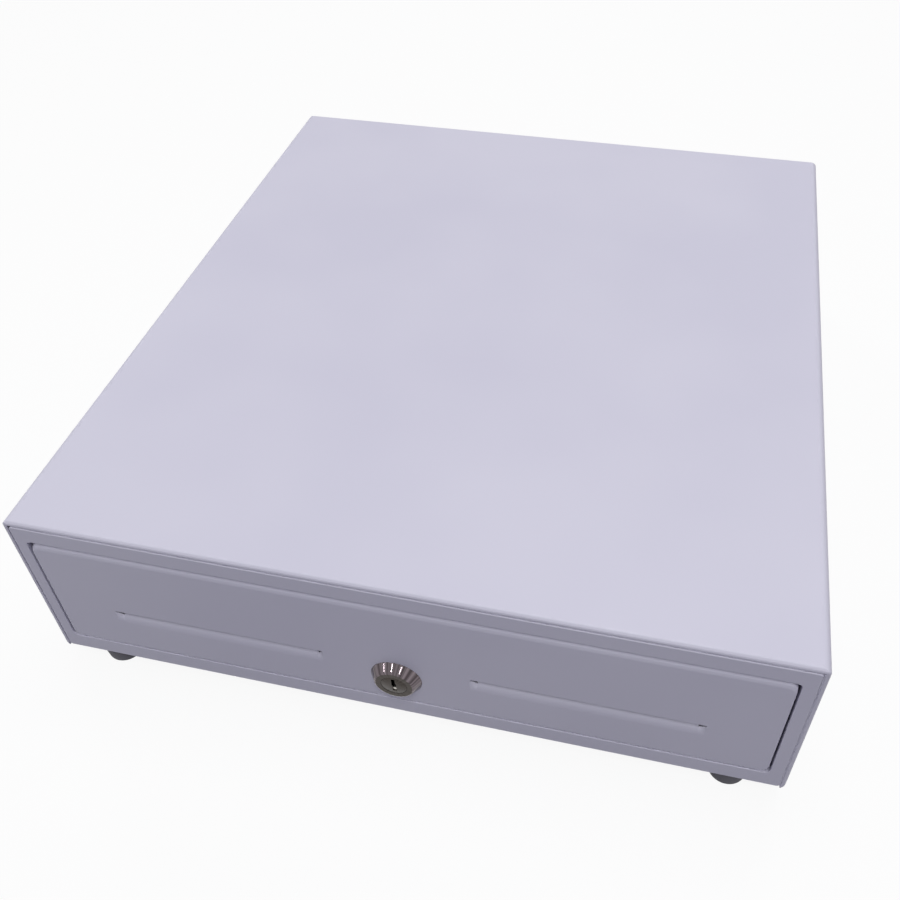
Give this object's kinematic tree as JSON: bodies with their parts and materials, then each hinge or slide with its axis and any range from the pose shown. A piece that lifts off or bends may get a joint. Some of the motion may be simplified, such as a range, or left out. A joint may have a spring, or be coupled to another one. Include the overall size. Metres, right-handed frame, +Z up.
{
  "type": "cash drawer",
  "caption": "Flat steel counter-top cash drawer: a white folded case on rubber feet, with a key-locked drawer with pressed paper slots, a till insert and a magnetic catch.",
  "frame": {"origin": "on the table, under the middle of the part's bounding box with the drawer shut", "axes": "+Z up, -Y out of the drawer's front, +X to the right as the user faces the front"},
  "size_m": [0.35, 0.3902, 0.106],
  "materials": {
    "white_powder_coat": "satin",
    "grey_rubber": "matte",
    "zinc_plate": "satin",
    "nickel_plate": "satin",
    "spring_steel": "satin",
    "chrome_plate": "polished",
    "wound_copper_wire": "satin",
    "white_nylon": "satin",
    "black_abs": "matte",
    "black_pvc": "matte"
  },
  "bodies": {
    "case": {"case_cover": "white_powder_coat", "base_plate": "white_powder_coat", "rear_panel": "white_powder_coat", "front_frame": "white_powder_coat", "foot_front_left": "grey_rubber", "foot_front_right": "grey_rubber", "foot_rear_left": "grey_rubber", "foot_rear_right": "grey_rubber", "case_rail_left": "zinc_plate", "case_rail_right": "zinc_plate", "front_axle_left": "nickel_plate", "front_axle_right": "nickel_plate", "lock_keeper": "nickel_plate", "catch_plate": "zinc_plate", "solenoid_yoke": "zinc_plate", "solenoid_coil": "wound_copper_wire", "latch_post": "nickel_plate", "eject_guide": "nickel_plate", "eject_spring": "spring_steel", "drawer_switch": "black_abs", "switch_blade": "spring_steel", "lead_socket": "black_abs", "coil_lead": "black_pvc"},
    "drawer": {"drawer_front": "white_powder_coat", "drawer_box": "white_powder_coat", "drawer_slide_left": "zinc_plate", "drawer_slide_right": "zinc_plate", "rear_axle_left": "nickel_plate", "rear_axle_right": "nickel_plate", "till_tray": "black_abs", "coin_cup_1": "black_abs", "coin_cup_2": "black_abs", "coin_cup_3": "black_abs", "coin_cup_4": "black_abs", "coin_cup_5": "black_abs", "clip_rod": "nickel_plate", "lock_barrel": "chrome_plate", "lock_nut": "nickel_plate", "latch_strike": "zinc_plate"},
    "lock": {"lock_plug": "zinc_plate", "lock_cam": "nickel_plate", "cam_nut": "nickel_plate"},
    "front_roller_left": {"front_roller_left": "white_nylon"},
    "front_roller_right": {"front_roller_right": "white_nylon"},
    "rear_roller_left": {"rear_roller_left": "white_nylon"},
    "rear_roller_right": {"rear_roller_right": "white_nylon"},
    "latch": {"latch_hook": "zinc_plate", "latch_spring": "spring_steel"},
    "plunger": {"solenoid_plunger": "nickel_plate"},
    "clip_1": {"bill_clip_1": "nickel_plate", "clip_spring_1": "spring_steel"},
    "clip_2": {"bill_clip_2": "nickel_plate", "clip_spring_2": "spring_steel"},
    "clip_3": {"bill_clip_3": "nickel_plate", "clip_spring_3": "spring_steel"},
    "clip_4": {"bill_clip_4": "nickel_plate", "clip_spring_4": "spring_steel"}
  },
  "joints": [
    {"name": "drawer_travel", "type": "slide", "parent": "case", "child": "drawer", "axis": [0, -1, 0], "range_m": [0, 0.258]},
    {"name": "lock_turn", "type": "hinge", "parent": "drawer", "child": "lock", "pos_m": [0, -0.1909, 0.042], "axis": [0, 1, 0], "range_deg": [0, 90]},
    {"name": "latch_swing", "type": "hinge", "parent": "case", "child": "latch", "pos_m": [0.009, 0.1541, 0.033], "axis": [0, 0, 1], "range_deg": [-14.2, 0]},
    {"name": "plunger_pull", "type": "slide", "parent": "case", "child": "plunger", "axis": [1, 0, 0], "range_m": [0, 0.00349]},
    {"name": "front_roller_left_spin", "type": "hinge", "parent": "case", "child": "front_roller_left", "pos_m": [-0.1607, -0.1634, 0.05], "axis": [1, 0, 0], "continuous": true},
    {"name": "front_roller_right_spin", "type": "hinge", "parent": "case", "child": "front_roller_right", "pos_m": [0.1607, -0.1634, 0.05], "axis": [1, 0, 0], "continuous": true},
    {"name": "rear_roller_left_spin", "type": "hinge", "parent": "drawer", "child": "rear_roller_left", "pos_m": [-0.1682, 0.1091, 0.05], "axis": [1, 0, 0], "continuous": true},
    {"name": "rear_roller_right_spin", "type": "hinge", "parent": "drawer", "child": "rear_roller_right", "pos_m": [0.1682, 0.1091, 0.05], "axis": [1, 0, 0], "continuous": true},
    {"name": "clip_1_lift", "type": "hinge", "parent": "drawer", "child": "clip_1", "pos_m": [-0.1131, 0.0991, 0.0763], "axis": [-1, 0, 0], "range_deg": [0, 28], "stiffness_Nm_per_rad": 0.05, "springref_deg": -11.46},
    {"name": "clip_2_lift", "type": "hinge", "parent": "drawer", "child": "clip_2", "pos_m": [-0.0377, 0.0991, 0.0763], "axis": [-1, 0, 0], "range_deg": [0, 28], "stiffness_Nm_per_rad": 0.05, "springref_deg": -11.46},
    {"name": "clip_3_lift", "type": "hinge", "parent": "drawer", "child": "clip_3", "pos_m": [0.0377, 0.0991, 0.0763], "axis": [-1, 0, 0], "range_deg": [0, 28], "stiffness_Nm_per_rad": 0.05, "springref_deg": -11.46},
    {"name": "clip_4_lift", "type": "hinge", "parent": "drawer", "child": "clip_4", "pos_m": [0.1131, 0.0991, 0.0763], "axis": [-1, 0, 0], "range_deg": [0, 28], "stiffness_Nm_per_rad": 0.05, "springref_deg": -11.46}
  ],
  "couplings": [
    {"joint": "latch_swing", "follows": "plunger_pull", "rad_per_m": -70.03},
    {"joint": "front_roller_left_spin", "follows": "drawer_travel", "rad_per_m": 117.65},
    {"joint": "front_roller_right_spin", "follows": "drawer_travel", "rad_per_m": 117.65},
    {"joint": "rear_roller_left_spin", "follows": "drawer_travel", "rad_per_m": 117.65},
    {"joint": "rear_roller_right_spin", "follows": "drawer_travel", "rad_per_m": 117.65}
  ]
}
